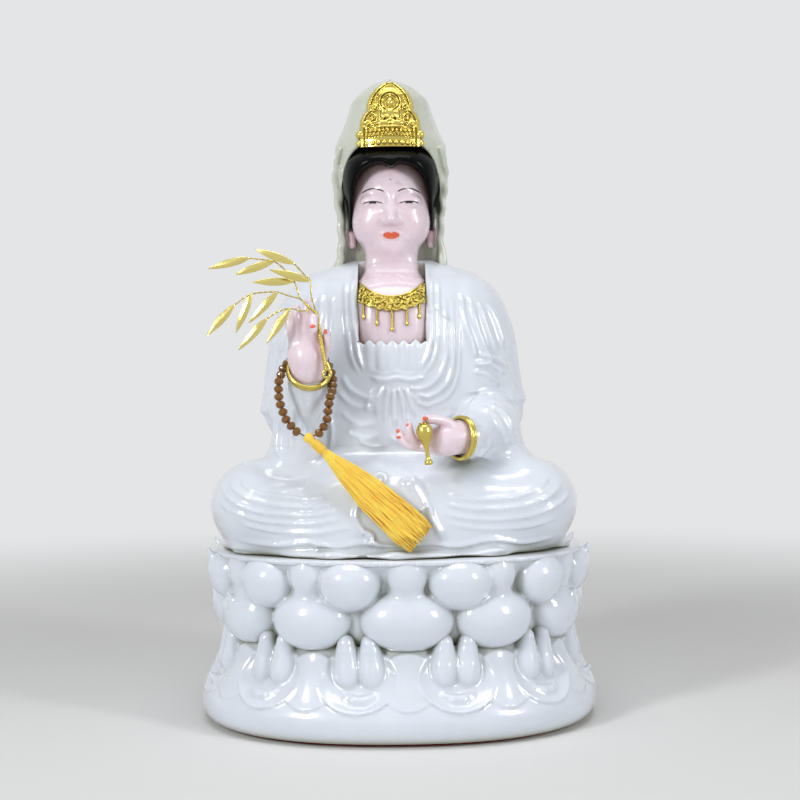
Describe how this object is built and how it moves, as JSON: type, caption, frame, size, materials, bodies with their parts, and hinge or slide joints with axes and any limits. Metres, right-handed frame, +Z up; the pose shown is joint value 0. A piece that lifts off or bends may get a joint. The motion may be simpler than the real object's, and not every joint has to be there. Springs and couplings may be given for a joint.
{
  "type": "jade figurine",
  "caption": "Seated robed figurine of white jade on a lotus throne, with gold crown, necklace and bangles, a willow branch, a bead string and a yellow tassel",
  "frame": {"origin": "centre of the base's underside, in the plane of the felt foot pad", "axes": "+Z up, the figure faces -Y, and +X is the figure's left"},
  "size_m": [0.1858, 0.1598, 0.2993],
  "materials": {
    "white_jade": "polished, translucent",
    "rose_jade": "satin, tinted pink",
    "black_lacquer": "glossy lacquer",
    "gold_plate": "polished gold plate",
    "gold_foil": "bright hammered foil",
    "amber_glass": "faceted, polished",
    "brown_thread": "twisted thread",
    "yellow_yarn": "silky yarn",
    "red_felt": "matte felt",
    "clear_jewel": "polished",
    "birch": "plain turned dowel"
  },
  "bodies": {
    "figure": {"foot_pad": "red_felt", "throne_base": "white_jade", "throne_lotus": "white_jade", "throne_dowel": "birch", "robed_body": "white_jade", "hood": "white_jade", "bust": "rose_jade", "hair_cap": "black_lacquer", "crown": "gold_plate", "forehead_jewel": "clear_jewel", "necklace": "gold_plate", "right_hand": "rose_jade", "left_hand": "rose_jade", "right_hand_peg": "birch", "left_hand_peg": "birch", "vase": "gold_plate"},
    "right_bangle_ring": {"right_bangle": "gold_plate"},
    "left_bangle_ring": {"left_bangle": "gold_plate"},
    "branch": {"branch_wire": "gold_plate", "leaf_1": "gold_foil", "leaf_2": "gold_foil", "leaf_3": "gold_foil", "leaf_4": "gold_foil", "leaf_5": "gold_foil", "leaf_6": "gold_foil", "leaf_7": "gold_foil", "leaf_8": "gold_foil", "leaf_9": "gold_foil", "leaf_10": "gold_foil"},
    "bead_string": {"bead_cord": "brown_thread", "bead_01": "amber_glass", "bead_02": "amber_glass", "bead_03": "amber_glass", "bead_04": "amber_glass", "bead_05": "amber_glass", "bead_06": "amber_glass", "bead_07": "amber_glass", "bead_08": "amber_glass", "bead_09": "amber_glass", "bead_10": "amber_glass", "bead_11": "amber_glass", "bead_12": "amber_glass", "bead_13": "amber_glass", "bead_14": "amber_glass", "bead_15": "amber_glass", "bead_16": "amber_glass", "bead_17": "amber_glass", "bead_18": "amber_glass", "bead_19": "amber_glass", "bead_20": "amber_glass", "bead_21": "amber_glass", "bead_22": "amber_glass", "bead_23": "amber_glass", "bead_24": "amber_glass", "bead_25": "amber_glass", "bead_26": "amber_glass", "bead_27": "amber_glass", "bead_28": "amber_glass", "tassel_knot": "yellow_yarn"},
    "tassel": {"tassel_skirt": "yellow_yarn"}
  },
  "joints": [
    {"name": "right_bangle_turn", "type": "hinge", "parent": "figure", "child": "right_bangle_ring", "pos_m": [-0.03807, -0.05621, 0.1603], "axis": [0.137, -0.7805, 0.61], "continuous": true},
    {"name": "left_bangle_turn", "type": "hinge", "parent": "figure", "child": "left_bangle_ring", "pos_m": [0.0284, -0.05498, 0.13055], "axis": [-0.8201, -0.5701, 0.05], "continuous": true},
    {"name": "branch_twist", "type": "hinge", "parent": "figure", "child": "branch", "pos_m": [-0.03285, -0.06485, 0.17758], "axis": [-0.1671, 0.024, 0.9856], "range_deg": [0, 25]},
    {"name": "bead_string_swing", "type": "hinge", "parent": "figure", "child": "bead_string", "pos_m": [-0.03807, -0.05385, 0.15958], "axis": [-1, 0, 0], "range_deg": [0, 15]},
    {"name": "tassel_lift", "type": "hinge", "parent": "bead_string", "child": "tassel", "pos_m": [-0.02896, -0.06549, 0.12342], "axis": [-0.6782, -0.0821, -0.7303], "range_deg": [0, 35]}
  ]
}
